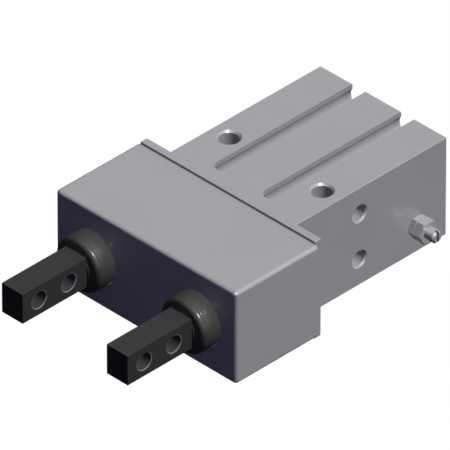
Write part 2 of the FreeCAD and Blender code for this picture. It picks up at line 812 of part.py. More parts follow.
# The jaws: a forked base between the ball rows, a round neck and a square finger in one piece.
def make_jaw():
    base = doc.addObject("PartDesign::Body", "jaw_base")
    dip = "ball_rise - groove_apex"
    half = "jaw_half - (ball_rise - groove_apex)"

    def side(way):
        """The outline of the upper or lower side, from back to front, with its ball groove."""
        return [
            ("jaw_back", "mid %s jaw_half" % way),
            ("ball_row + %s" % half, "mid %s jaw_half" % way),
            ("ball_row", "mid %s (%s)" % (way, dip)),
            ("ball_row - (%s)" % half, "mid %s jaw_half" % way),
            ("jaw_front", "mid %s jaw_half" % way),
        ]
    sketch = sketch_on(base, "YZ_Plane", "jaw_inner")
    outline(sketch, side("+") + side("-")[::-1])
    extruded(base, "Pad", sketch, "jaw_outer - jaw_inner")
    neck = cylinder("jaw_neck", "Y", "neck / 2", ("finger_back", "jaw_front"), ("jaw_out", "mid"))
    finger = block("finger", ("jaw_out - finger_wide / 2", "jaw_out + finger_wide / 2"),
                   ("finger_tip", "finger_back"), ("mid - finger_high / 2", "mid + finger_high / 2"))
    tools = [
        block("fork_opening", ("jaw_inner - past", "fork_end"), ("jaw_front - past", "jaw_back + past"),
              ("mid - fork_half", "mid + fork_half")),
        cylinder("cam_pin_hole", "Z", "cam_pin / 2 + screw_play",
                 ("mid - jaw_half - past", "mid + jaw_half + past"), ("cam_pin_out", "pin_line")),
    ]
    for name, out in (("first", "finger_hole_first"), ("second", "finger_hole_first + finger_hole_pitch")):
        tools.append(cylinder("finger_hole_" + name, "X", "finger_hole / 2",
                              ("jaw_out - finger_wide", "jaw_out + finger_wide"),
                              ("finger_tip + " + out, "mid")))
    both_sides("jaw", cut("jaw", joined("jaw_blank", [base, neck, finger]), tools))


make_jaw()


# The cam pins and their rollers: each roller turns on its pin inside a cam slot.
def make_cam_followers():
    pin_at = ("cam_pin_out", "pin_line", "0")
    low, top = "mid - jaw_half + roller_end_room", "mid + jaw_half - roller_end_room"
    pin = turned("cam_pin", "Z", [
        (low, "0"),
        (low, "cam_pin / 2 - pin_edge"),
        (low + " + pin_edge", "cam_pin / 2"),
        (top + " - pin_edge", "cam_pin / 2"),
        (top, "cam_pin / 2 - pin_edge"),
        (top, "0"),
    ], pin_at)
    both_sides("cam_pin", pin)
    span = ("mid - fork_half + roller_end_room", "mid + fork_half - roller_end_room")
    roller = ring("cam_roller", "Z", span, "cam_pin / 2 + running_play", "roller_radius", pin_at)
    both_sides("cam_roller", roller)


make_cam_followers()


# The ball rows: one row of balls above and one below each jaw, spaced by a bronze cage.
def make_ball_rows():
    balls, strips = [], []
    count = int(number("ball_count"))
    for level, way in (("upper", "+"), ("lower", "-")):
        rise = "mid %s ball_rise" % way
        strip = block("cage_strip_" + level,
                      ("cage_middle - cage_long / 2", "cage_middle + cage_long / 2"),
                      ("ball_row - cage_wide / 2", "ball_row + cage_wide / 2"),
                      (rise + " - cage_thick / 2", rise + " + cage_thick / 2"))
        holes = []
        for step in range(count):
            along = "cage_middle + (%d - (ball_count - 1) / 2) * ball_pitch" % step
            ball = doc.addObject("Part::Sphere", "ball_%s_%d" % (level, step))
            ball.setExpression("Radius", bound("ball / 2"))
            put(ball, (along, "ball_row", rise))
            balls.append(ball)
            holes.append(cylinder("cage_hole_%s_%d" % (level, step), "Z", "ball / 2 + running_play",
                                  (rise + " - cage_thick", rise + " + cage_thick"), (along, "ball_row")))
        strips.append(cut("cage_" + level, strip, holes))
    both_sides("ball_cage", grouped("ball_cage", strips))
    both_sides("balls", grouped("balls", balls))


make_ball_rows()


# The rubber boots: a cap that seals each jaw's neck and stretches sideways as the jaw moves.
def make_boots():
    radius, hole = "boot / 2", "neck / 2 + boot_play"
    inner = "boot / 2 - boot_wall"
    boot = turned("boot", "Y", [
        ("boot_front", hole),
        ("boot_front", radius),
        ("cover_inside", radius),
        ("cover_inside", "boot_flange / 2"),
        ("boot_flange_back", "boot_flange / 2"),
        ("boot_flange_back", inner),
        ("boot_front + boot_wall", inner),
        ("boot_front + boot_wall", hole),
    ], ("jaw_out", "0", "mid"))
    doc.recompute()
    front, wide = number("boot_front"), number(radius)
    dressed(boot, "Fillet", boot.Tip, "Radius", "boot_round",
            lambda edge: abs(edge.BoundBox.YMax - front) < 1e-6
            and abs(edge.BoundBox.XLength / 2 - wide) < 1e-3)
    both_sides("boot", boot)
    both_sides("boot_ring", ring(
        "boot_ring", "Y", ("boot_flange_back", "boot_ring_back"),
        inner, "boot_flange / 2", ("jaw_out", "0", "mid")))


make_boots()


# The cam plate: two sloping slots turn the piston's stroke into the jaws' stroke.
def make_cam_plate():
    plate = doc.addObject("PartDesign::Body", "cam_plate")
    sketch = sketch_on(plate, "XY_Plane", "mid - cam_thick / 2")
    side, tail = "cam_wide / 2", "cam_tail_wide / 2"
    tail_end = "clevis_back - bumper_play"
    outline(sketch, [
        ("-" + side, "cam_front"), (side, "cam_front"), (side, "flange_front"), (tail, "flange_front"),
        (tail, tail_end), ("-" + tail, tail_end), ("-" + tail, "flange_front"), ("-" + side, "flange_front"),
    ])
    pad = extruded(plate, "Pad", sketch, "cam_thick")
    wide, thick = number(side), number("cam_thick")
    dressed(plate, "Fillet", pad, "Radius", "cam_corner",
            lambda edge: abs(edge.BoundBox.ZLength - thick) < 1e-6
            and all(abs(abs(end.X) - wide) < 1e-6 for end in edge.Vertexes))
    sketch = sketch_on(plate, "XY_Plane", "mid + cam_thick / 2")
    for sign in ("", "-"):
        ends = [
            ("%s(cam_pin_out %s slot_half_run * cam_slope)" % (sign, way), "pin_line %s slot_half_run" % way)
            for way in ("-", "+")
        ]
        slot_line(sketch, ends[0], ends[1], "slot_radius")
    ring_line(sketch, "0", "clevis_pin_line", "clevis_pin / 2 + screw_play")
    extruded(plate, "Pocket", sketch, "cam_thick")
    keep(plate, "cam_plate")


make_cam_plate()


# The piston rod: its front end is a clevis for the cam plate's tail.
def make_piston_rod():
    blank = turned("rod_blank", "Y", [
        ("rod_front", "0"),
        ("rod_front", "rod / 2 - rod_edge"),
        ("rod_front + rod_edge", "rod / 2"),
        ("piston_front", "rod / 2"),
        ("piston_front", "0"),
    ], ("0", "0", "mid"))
    tools = [
        block("clevis_slot", ("-rod", "rod"), ("rod_front - past", "clevis_back"),
              ("mid - cam_thick / 2 - screw_play", "mid + cam_thick / 2 + screw_play")),
        cylinder("clevis_pin_hole", "Z", "clevis_pin / 2 + screw_play", ("mid - rod", "mid + rod"),
                 ("0", "clevis_pin_line")),
        cylinder("rod_thread", "Y", "piston_screw / 2 + screw_play",
                 ("piston_seat - piston_screw_long - piston_head_room", "piston_front + past"), ("0", "mid")),
    ]
    keep(cut("piston_rod", blank, tools), "piston_rod")
    keep(cylinder("clevis_pin", "Z", "clevis_pin / 2",
                  ("mid - rod / 2 + clevis_pin_sunk", "mid + rod / 2 - clevis_pin_sunk"),
                  ("0", "clevis_pin_line")), "clevis_pin")


make_piston_rod()


# The piston: a turned disc with a seal, a ring magnet for the switches and a rear boss.
def make_piston():
    axis_at = ("0", "0", "mid")
    radius, hole = "piston_radius", "piston_screw / 2 + screw_play"
    seal_at, magnet_at = "piston_front + piston_seal_in", "piston_front + magnet_in"
    seal_end, magnet_end = seal_at + " + piston_seal_long", magnet_at + " + magnet_long"
    seal_floor, magnet_floor = radius + " - ring_depth", radius + " - magnet_depth"
    head = "piston_screw_head / 2 + screw_play"
    keep(turned("piston", "Y", [
        ("piston_front", hole), ("piston_front", radius),
        (seal_at, radius), (seal_at, seal_floor), (seal_end, seal_floor), (seal_end, radius),
        (magnet_at, radius), (magnet_at, magnet_floor), (magnet_end, magnet_floor), (magnet_end, radius),
        ("piston_back", radius), ("piston_back", "piston_boss / 2"),
        ("boss_back", "piston_boss / 2"), ("boss_back", head), ("piston_seat", head), ("piston_seat", hole),
    ], axis_at), "piston")
    keep(ring("piston_seal", "Y", (seal_at + " + press_play", seal_end + " - press_play"),
              seal_floor + " + press_play", "bore_radius - running_play", axis_at), "piston_seal")
    keep(ring("magnet", "Y", (magnet_at + " + press_play", magnet_end + " - press_play"),
              magnet_floor + " + press_play", radius + " - press_play", axis_at), "magnet")
    keep(turned("piston_screw", "Y", [
        ("piston_seat + piston_screw_head_tall", "0"),
        ("piston_seat + piston_screw_head_tall", "piston_screw_head / 2"),
        ("piston_seat", "piston_screw_head / 2"),
        ("piston_seat", "piston_screw / 2"),
        ("piston_seat - piston_screw_long", "piston_screw / 2"),
        ("piston_seat - piston_screw_long", "0"),
    ], axis_at), "piston_screw")


make_piston()


# What closes the cylinder: rod guide, seals, bumpers, end cap and snap ring.
def o_ring(name, line):
    """A round section rubber ring, pressed to eight flats in its groove."""
    middle, flat = "fitted_radius - o_ring / 2", "(o_ring - running_play) / 2 * (sqrt(2) - 1)"
    side = "(o_ring - running_play) / 2"
    steps = [("-", side, flat), ("-", flat, side), ("+", flat, side), ("+", side, flat)]
    upper = [("%s %s %s" % (line, way, along), "%s + %s" % (middle, out)) for way, along, out in steps]
    lower = [("%s %s %s" % (line, way, along), "%s - %s" % (middle, out)) for way, along, out in steps[::-1]]
    return keep(turned(name, "Y", upper + lower, ("0", "0", "mid")), name)


def make_cylinder_ends():
    axis_at = ("0", "0", "mid")
    bore, radius = "rod / 2 + running_play", "fitted_radius"
    floor = "fitted_radius - o_ring"
    groove = "bore_bottom + guide_ring_in"
    keep(turned("rod_guide", "Y", [
        ("bore_bottom", bore), ("bore_bottom", radius),
        (groove, radius), (groove, floor),
        (groove + " + o_ring_groove", floor), (groove + " + o_ring_groove", radius),
        ("guide_back", radius), ("guide_back", "rod_seal_radius"),
        ("guide_back - rod_seal_long", "rod_seal_radius"), ("guide_back - rod_seal_long", bore),
    ], axis_at), "rod_guide")
    o_ring("rod_guide_o_ring", groove + " + o_ring_groove / 2")
    keep(ring("rod_seal", "Y", ("guide_back - rod_seal_long + press_play", "guide_back - press_play"),
              bore, "rod_seal_radius - press_play", axis_at), "rod_seal")
    keep(ring("front_bumper", "Y", ("guide_back", "front_bumper_back"),
              "rod / 2 + bumper_bore_room", "bore_radius - bumper_edge", axis_at), "front_bumper")
    groove = "cap_front + cap_ring_in"
    keep(turned("end_cap", "Y", [
        ("cap_front", "0"), ("cap_front", radius),
        (groove, radius), (groove, floor),
        (groove + " + o_ring_groove", floor), (groove + " + o_ring_groove", radius),
        ("cap_back", radius), ("cap_back", "cap_dish / 2"),
        ("cap_back - cap_dish_deep", "cap_dish / 2 - cap_dish_deep"), ("cap_back - cap_dish_deep", "0"),
    ], axis_at), "end_cap")
    o_ring("end_cap_o_ring", groove + " + o_ring_groove / 2")
    keep(ring("rear_bumper", "Y", ("bumper_front", "cap_front"),
              "bore_radius - rear_bumper_edge - rear_bumper_ring", "bore_radius - rear_bumper_edge",
              axis_at), "rear_bumper")


def make_snap_ring():
    span = ("cap_back", "snap_back")
    across = ("0", "mid")
    hoop = cut("snap_hoop", cylinder("snap_disc", "Y", "snap_radius", span, across), [
        cylinder("snap_middle", "Y", "snap_inner", ("cap_back - past", "snap_back + past"), across),
        block("snap_opening", ("-(snap_lug_apart - snap_lug) / 2", "(snap_lug_apart - snap_lug) / 2"),
              ("cap_back - past", "snap_back + past"), ("mid", "mid + cylinder_bore")),
    ])
    lugs, holes = [], []
    for side, sign in (("right", ""), ("left", "-")):
        lug_at = (sign + "snap_lug_apart / 2", "mid + snap_lug_rise")
        lugs.append(cylinder("snap_lug_" + side, "Y", "snap_lug / 2", span, lug_at))
        holes.append(cylinder("snap_hole_" + side, "Y", "snap_lug_hole / 2",
                              ("cap_back - past", "snap_back + past"), lug_at))
    keep(cut("snap_ring", joined("snap_blank", [hoop] + lugs), holes), "snap_ring")


make_cylinder_ends()
make_snap_ring()


# The speed control needle: a bushing screwed into the body, the needle and its lock nut.
def make_needle():
    across = ("needle_line", "needle_rise")
    shank = cylinder("bushing_shank", "X", "bushing_shank / 2", ("body_side - bushing_long", "body_side"),
                     across)
    head = nut_form("bushing_head", ("body_side", "bushing_out"), across)
    bore = "needle / 2 + running_play"
    keep(cut("needle_bushing", joined("bushing_blank", [head, shank]), [
        cylinder("bushing_bore", "X", bore,
                 ("body_side - bushing_long - past", "bushing_out + past"), across),
    ]), "needle_bushing")
    keep(cut("needle_lock_nut", nut_form("lock_nut_blank", ("nut_in", "nut_out"), across), [
        cylinder("lock_nut_bore", "X", bore, ("nut_in - past", "nut_out + past"), across),
    ]), "needle_lock_nut")
    wide, neck = "needle / 2", "needle_neck / 2"
    blank = turned("needle_blank", "X", [
        ("needle_foot", "0"), ("needle_foot", "needle_tip / 2"),
        ("needle_land_foot", "needle_seat / 2 - boot_play"), ("needle_land_foot", wide),
        ("needle_neck_foot", wide), ("needle_neck_foot", neck),
        ("needle_neck_top", neck), ("needle_neck_top", wide),
        ("needle_top - needle_edge", wide), ("needle_top", wide + " - needle_edge"), ("needle_top", "0"),
    ], ("0", across[0], across[1]))
    slot = block("needle_slot", ("needle_top - needle_slot_deep", "needle_top + past"),
                 ("needle_line - needle_slot / 2", "needle_line + needle_slot / 2"),
                 ("needle_rise - needle", "needle_rise + needle"))
    keep(cut("needle", blank, [slot]), "needle")
    keep(ring("needle_o_ring", "X",
              ("needle_neck_foot + needle_end_room", "needle_neck_top - needle_end_room"),
              neck + " + running_play", "needle_ring / 2", ("0", across[0], across[1])), "needle_o_ring")


make_needle()


# Check every object, then write each piece to its own file
doc.recompute()
for item in doc.Objects:
    if "Invalid" in item.State or "Error" in item.State:
        raise RuntimeError("%s did not build: %s" % (item.Label, item.State))
for piece in nodes:
    if piece.Shape.isNull() or not piece.Shape.isValid():
        raise RuntimeError("%s has no valid shape" % piece.Label)
os.makedirs("parts", exist_ok=True)
for piece in nodes:
    piece.Shape.exportStep("parts/%s.step" % piece.Label)
print("%d pieces written" % len(nodes))
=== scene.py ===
import json
from math import cos, hypot, pi, radians, sin

import bmesh
import bpy
from mathutils import Matrix, Vector


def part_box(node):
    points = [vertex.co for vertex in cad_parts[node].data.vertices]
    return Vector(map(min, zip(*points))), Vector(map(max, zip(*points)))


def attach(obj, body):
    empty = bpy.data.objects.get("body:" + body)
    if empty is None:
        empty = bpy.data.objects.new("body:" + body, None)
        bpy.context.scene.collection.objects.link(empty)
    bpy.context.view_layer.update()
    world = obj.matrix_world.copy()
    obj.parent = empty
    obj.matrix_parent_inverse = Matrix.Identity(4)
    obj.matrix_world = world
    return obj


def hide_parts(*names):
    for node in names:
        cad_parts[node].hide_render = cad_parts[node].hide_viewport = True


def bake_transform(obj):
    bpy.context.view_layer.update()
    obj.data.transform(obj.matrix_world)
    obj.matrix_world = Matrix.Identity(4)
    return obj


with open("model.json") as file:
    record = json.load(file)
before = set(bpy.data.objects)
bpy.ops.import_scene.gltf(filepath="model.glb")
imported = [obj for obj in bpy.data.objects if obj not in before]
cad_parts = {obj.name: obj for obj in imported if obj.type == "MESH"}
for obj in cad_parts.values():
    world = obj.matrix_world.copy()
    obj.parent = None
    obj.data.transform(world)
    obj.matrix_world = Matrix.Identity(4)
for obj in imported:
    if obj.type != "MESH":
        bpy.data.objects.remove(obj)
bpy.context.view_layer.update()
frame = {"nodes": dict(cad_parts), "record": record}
MM = 0.001

# The studio: a white floor and background, a key lamp from above and behind the right hand
# side, a weak blue lamp beside the camera, one across from it, and one that only makes the
# highlights. No lamp casts a shadow. The camera stands so far off that edges stay parallel.
VIEW_CENTRE = Vector((-4.73, -12.06, 14.0)) * MM
VIEW_WIDTH = 106.19 * MM
LENS_MM = 1500.0
SENSOR_MM = 36.0
KEY_FROM = Vector((0.52, 0.2, 0.83)).normalized()
SHINE_FROM = Vector((0.58, -0.32, 0.75)).normalized()
CAMERA_FROM = Vector((1, -1, 1)).normalized()
FLOOR_HALF = 3.0
WHITE = (1.0, 1.0, 1.0, 1.0)


def linear(red, green, blue):
    """A colour as it is read off a screen, as the shader wants it."""
    def channel(value):
        share = value / 255
        return share / 12.92 if share <= 0.04045 else ((share + 0.055) / 1.055) ** 2.4
    return channel(red), channel(green), channel(blue), 1.0


def new_tree_of(owner):
    owner.use_nodes = True
    owner.node_tree.nodes.clear()
    return owner.node_tree.nodes, owner.node_tree.links


def seen_by(nodes, links, *rays):
    """One where a ray of one of these kinds arrives, else nothing."""
    path = nodes.new("ShaderNodeLightPath")
    found = path.outputs[rays[0]]
    for ray in rays[1:]:
        either = nodes.new("ShaderNodeMath")
        either.operation = "MAXIMUM"
        links.new(found, either.inputs[0])
        links.new(path.outputs[ray], either.inputs[1])
        found = either.outputs[0]
    return found


def background(nodes, colour, strength):
    made = nodes.new("ShaderNodeBackground")
    made.inputs["Color"].default_value = colour
    made.inputs["Strength"].default_value = strength
    return made


def chosen_by(nodes, links, factor, first, second):
    made = nodes.new("ShaderNodeMixShader")
    links.new(factor, made.inputs["Fac"])
    links.new(first, made.inputs[1])
    links.new(second, made.inputs[2])
    return made.outputs[0]


world = bpy.data.worlds.new("white_studio")
bpy.context.scene.world = world
nodes, links = new_tree_of(world)
ambient = background(nodes, linear(150, 158, 214), 0.05)
mirrored = background(nodes, WHITE, 1.0)
backdrop = background(nodes, WHITE, 1.0)
# What glossy surfaces mirror grows brighter towards the key lamp and towards the camera.
direction, mirrored_light = nodes.new("ShaderNodeTexCoord"), nodes.new("ShaderNodeMath")
mirrored_light.operation = "ADD"
for number, (side, low, high, least, most) in enumerate((
    (KEY_FROM, -0.2, 0.95, 0.03, 0.6),
    (CAMERA_FROM, 0.15, 0.5, 0.0, 0.6),
)):
    towards_side, fall_off = nodes.new("ShaderNodeVectorMath"), nodes.new("ShaderNodeMapRange")
    towards_side.operation = "DOT_PRODUCT"
    towards_side.inputs[1].default_value = side
    links.new(direction.outputs["Generated"], towards_side.inputs[0])
    for label, value in (
        ("From Min", low), ("From Max", high), ("To Min", least), ("To Max", most),
    ):
        fall_off.inputs[label].default_value = value
    links.new(towards_side.outputs["Value"], fall_off.inputs["Value"])
    links.new(fall_off.outputs["Result"], mirrored_light.inputs[number])
links.new(mirrored_light.outputs[0], mirrored.inputs["Strength"])
lit = chosen_by(nodes, links, seen_by(nodes, links, "Is Glossy Ray"),
                ambient.outputs[0], mirrored.outputs[0])
lit = chosen_by(nodes, links, seen_by(nodes, links, "Is Camera Ray", "Is Transmission Ray"),
                lit, backdrop.outputs[0])
links.new(lit, nodes.new("ShaderNodeOutputWorld").inputs["Surface"])

floor_material = bpy.data.materials.new("white_floor")
nodes, links = new_tree_of(floor_material)
matt, glow = nodes.new("ShaderNodeBsdfDiffuse"), nodes.new("ShaderNodeEmission")
matt.inputs["Color"].default_value = (0.01, 0.01, 0.01, 1.0)
links.new(seen_by(nodes, links, "Is Camera Ray", "Is Transmission Ray"),
          glow.inputs["Strength"])
both = nodes.new("ShaderNodeAddShader")
links.new(matt.outputs[0], both.inputs[0])
links.new(glow.outputs[0], both.inputs[1])
links.new(both.outputs[0], nodes.new("ShaderNodeOutputMaterial").inputs["Surface"])


def object_of(name, mesh):
    made = bpy.data.objects.new(name, mesh)
    bpy.context.scene.collection.objects.link(made)
    return made


floor_mesh = bpy.data.meshes.new("floor")
floor_mesh.from_pydata(
    [(-FLOOR_HALF, -FLOOR_HALF, 0), (FLOOR_HALF, -FLOOR_HALF, 0),
     (FLOOR_HALF, FLOOR_HALF, 0), (-FLOOR_HALF, FLOOR_HALF, 0)], [], [(0, 1, 2, 3)])
floor_mesh.materials.append(floor_material)
object_of("floor", floor_mesh)


def lamp(name, towards, strength, softness, colour=(1.0, 1.0, 1.0), shines=False):
    """A distant lamp that lights matt surfaces, or only shines in glossy ones, from the
    given side and through whatever is in its way."""
    data = bpy.data.lights.new(name, "SUN")
    data.energy = strength
    data.color = colour
    data.angle = radians(softness)
    data.use_shadow = False
    made = object_of(name, data)
    made.visible_diffuse, made.visible_glossy = not shines, shines
    made.rotation_euler = towards.to_track_quat("Z", "Y").to_euler()
    return made


lamp("key_lamp", KEY_FROM, 3.7, 8)
lamp("camera_lamp", CAMERA_FROM, 0.38, 12, (0.41, 0.38, 1.0))
lamp("far_lamp", -CAMERA_FROM, 1.3, 30, (0.86, 0.88, 1.0))
lamp("shine_lamp", SHINE_FROM, 4.0, 14, shines=True)
bpy.context.scene.cycles.diffuse_bounces = 0

eye = bpy.data.objects.new("camera", bpy.data.cameras.new("camera"))
bpy.context.scene.collection.objects.link(eye)
eye.data.lens = LENS_MM
eye.data.sensor_width = SENSOR_MM
eye.location = VIEW_CENTRE + CAMERA_FROM * (VIEW_WIDTH * LENS_MM / SENSOR_MM)
eye.rotation_euler = CAMERA_FROM.to_track_quat("Z", "Y").to_euler()
eye.data.clip_end = 100
bpy.context.scene.camera = eye
bpy.context.scene.view_settings.view_transform = "Standard"


# The body: one block of aluminium, sawn from a bar, machined on all sides, bead blasted
# and clear anodised. The solid already has its true shape, so only its loose triangles
# are joined and its round walls are shaded smooth.
def value_group(name, inputs, outputs):
    """An empty shader group with named inputs and outputs."""
    group = bpy.data.node_groups.new(name, "ShaderNodeTree")
    for label, kind, value in inputs:
        socket = group.interface.new_socket(name=label, in_out="INPUT", socket_type=kind)
        socket.default_value = value
    for label, kind in outputs:
        group.interface.new_socket(name=label, in_out="OUTPUT", socket_type=kind)
    return group, group.nodes.new("NodeGroupInput"), group.nodes.new("NodeGroupOutput")


def noise_of(group, start, scale_from, detail):
    """A noise on object coordinates, its scale from a named input of the group."""
    place = group.nodes.new("ShaderNodeTexCoord")
    made = group.nodes.new("ShaderNodeTexNoise")
    made.inputs["Detail"].default_value = detail
    group.links.new(place.outputs["Object"], made.inputs["Vector"])
    group.links.new(start.outputs[scale_from], made.inputs["Scale"])
    return made.outputs["Fac"]


def spread_round_one(group, value, amount):
    """Turn a noise into a factor that swings about one by the amount."""
    centred, scaled, made = (group.nodes.new("ShaderNodeMath") for _ in range(3))
    centred.operation, scaled.operation, made.operation = "SUBTRACT", "MULTIPLY", "ADD"
    centred.inputs[1].default_value = 0.5
    made.inputs[1].default_value = 1.0
    group.links.new(value, centred.inputs[0])
    group.links.new(centred.outputs[0], scaled.inputs[0])
    group.links.new(amount, scaled.inputs[1])
    group.links.new(scaled.outputs[0], made.inputs[0])
    return made.outputs[0]


def times(group, colour, factor):
    made = group.nodes.new("ShaderNodeVectorMath")
    made.operation = "MULTIPLY"
    group.links.new(colour, made.inputs[0])
    group.links.new(factor, made.inputs[1])
    return made.outputs["Vector"]


GRAIN_HIGH = 0.1 * MM


def made_surface_grain():
    """Cloudy tone, fine grain and a fine bump, for blasted, plated and moulded surfaces."""
    group, start, end = value_group("surface_grain", (
        ("Color", "NodeSocketColor", (0.5, 0.5, 0.5, 1.0)),
        ("Cloud Scale", "NodeSocketFloat", 60.0),
        ("Cloud Amount", "NodeSocketFloat", 0.1),
        ("Grain Scale", "NodeSocketFloat", 2500.0),
        ("Grain Amount", "NodeSocketFloat", 0.1),
        ("Roughness", "NodeSocketFloat", 0.5),
        ("Roughness Amount", "NodeSocketFloat", 0.2),
        ("Depth", "NodeSocketFloat", 0.02),
    ), (
        ("Color", "NodeSocketColor"),
        ("Roughness", "NodeSocketFloat"),
        ("Normal", "NodeSocketVector"),
    ))
    cloud = noise_of(group, start, "Cloud Scale", 3)
    grain = noise_of(group, start, "Grain Scale", 2)
    tone = times(group, start.outputs["Color"],
                 spread_round_one(group, cloud, start.outputs["Cloud Amount"]))
    tone = times(group, tone, spread_round_one(group, grain, start.outputs["Grain Amount"]))
    group.links.new(tone, end.inputs["Color"])
    rough = group.nodes.new("ShaderNodeMath")
    rough.operation = "MULTIPLY"
    group.links.new(start.outputs["Roughness"], rough.inputs[0])
    group.links.new(spread_round_one(group, cloud, start.outputs["Roughness Amount"]),
                    rough.inputs[1])
    group.links.new(rough.outputs[0], end.inputs["Roughness"])
    bump = group.nodes.new("ShaderNodeBump")
    bump.inputs["Distance"].default_value = GRAIN_HIGH
    group.links.new(grain, bump.inputs["Height"])
    group.links.new(start.outputs["Depth"], bump.inputs["Strength"])
    group.links.new(bump.outputs["Normal"], end.inputs["Normal"])
    return group


SURFACE_GRAIN = made_surface_grain()


def finish_of(name, colour, metallic, roughness, grain, cloud=(60.0, 0.08), coat=(0.0, 0.3),
              shine=0.5):
    """A material whose tone, gloss and bump come from the grain group. Grain is given as
    (scale, amount, depth), cloud as (scale, amount) and coat as (weight, roughness)."""
    material = bpy.data.materials.new(name)
    material.diffuse_color = colour
    nodes, links = new_tree_of(material)
    texture = nodes.new("ShaderNodeGroup")
    texture.node_tree = SURFACE_GRAIN
    grain_scale, grain_amount, depth = grain
    cloud_scale, cloud_amount = cloud
    for label, value in (("Color", colour), ("Grain Scale", grain_scale),
                         ("Grain Amount", grain_amount), ("Depth", depth),
                         ("Roughness", roughness), ("Cloud Scale", cloud_scale),
                         ("Cloud Amount", cloud_amount)):
        texture.inputs[label].default_value = value
    shader, out = nodes.new("ShaderNodeBsdfPrincipled"), nodes.new("ShaderNodeOutputMaterial")
    shader.inputs["Metallic"].default_value = metallic
    shader.inputs["Specular IOR Level"].default_value = shine
    shader.inputs["Coat Weight"].default_value, shader.inputs["Coat Roughness"].default_value = coat
    links.new(texture.outputs["Color"], shader.inputs["Base Color"])
    links.new(texture.outputs["Roughness"], shader.inputs["Roughness"])
    links.new(texture.outputs["Normal"], shader.inputs["Normal"])
    links.new(shader.outputs["BSDF"], out.inputs["Surface"])
    return material


ANODISED = finish_of("blasted_anodised_aluminium", linear(166, 166, 166), 0.1, 0.5,
                     (3200.0, 0.05, 0.05), (60.0, 0.05), coat=(0.7, 0.2))
SAME_POINT = 0.001 * MM
SAME_PLANE_DEGREES = 0.4


def smooth_below(mesh, angle):
    """Shade a mesh smooth, apart from edges sharper than the angle in degrees."""
    mesh.polygons.foreach_set("use_smooth", [True] * len(mesh.polygons))
    mesh.set_sharp_from_angle(angle=radians(angle))


def joined_copy(name, node, angle=32):
    """A copy of a node's solid with its loose triangles joined and flat faces merged."""
    work = bmesh.new()
    work.from_mesh(frame["nodes"][node].data)
    bmesh.ops.remove_doubles(work, verts=work.verts, dist=SAME_POINT)
    bmesh.ops.dissolve_limit(work, angle_limit=radians(SAME_PLANE_DEGREES), verts=work.verts,
                             edges=work.edges)
    mesh = bpy.data.meshes.new(name)
    work.to_mesh(mesh)
    work.free()
    if "custom_normal" in mesh.attributes:
        mesh.attributes.remove(mesh.attributes["custom_normal"])
    smooth_below(mesh, angle)
    return object_of(name, mesh)


def baked(piece):
    """The plain mesh that a piece's modifiers make; the modifiers go."""
    mesh = bpy.data.meshes.new_from_object(
        piece.evaluated_get(bpy.context.evaluated_depsgraph_get()))
    piece.modifiers.clear()
    return mesh


def with_even_flats(piece):
    """Let only the largest faces at a point set its shading, so that flat faces stay even."""
    weighed = piece.modifiers.new("even_flats", "WEIGHTED_NORMAL")
    weighed.mode = "FACE_AREA"
    weighed.weight = 100
    weighed.keep_sharp = True
    piece.data = baked(piece)
    return piece


def finished(piece, material, body, slot, *nodes_replaced):
    """Give a piece its material and body, and let it stand for its nodes; the slot is not used."""
    piece.data.materials.clear()
    piece.data.materials.append(material)
    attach(piece, body)
    if nodes_replaced:
        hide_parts(*nodes_replaced)
    return piece


finished(with_even_flats(joined_copy("gripper_body", "body", angle=22)), ANODISED, "housing",
         "anodised_aluminium", "body")


# Threads in the body: M6 in the two long holes, cut from both ends, and M5 in the side
# holes, the rear holes and the air ports. Each is one helical ridge that stands in from
# the bore, behind a plain lead, and copies of it go to every hole of its kind.
def geometry_group(name, inputs):
    """An empty geometry group with named inputs and one geometry in and out."""
    group = bpy.data.node_groups.new(name, "GeometryNodeTree")
    for label, kind, value in (("Geometry", "NodeSocketGeometry", None),) + inputs:
        socket = group.interface.new_socket(name=label, in_out="INPUT", socket_type=kind)
        if value is not None:
            socket.default_value = value
    group.interface.new_socket(name="Geometry", in_out="OUTPUT", socket_type="NodeSocketGeometry")
    return group, group.nodes.new("NodeGroupInput"), group.nodes.new("NodeGroupOutput")


def product(group, first, second):
    """Multiply a socket by another socket or by a plain number."""
    made = group.nodes.new("ShaderNodeMath")
    made.operation = "MULTIPLY"
    group.links.new(first, made.inputs[0])
    if isinstance(second, float):
        made.inputs[1].default_value = second
    else:
        group.links.new(second, made.inputs[1])
    return made.outputs[0]


RIDGE_STEPS, RIDGE_CORNERS, RIDGE_WIDE_SHARE, RIDGE_DEEP_SHARE = 48, 4, 0.42, 0.1


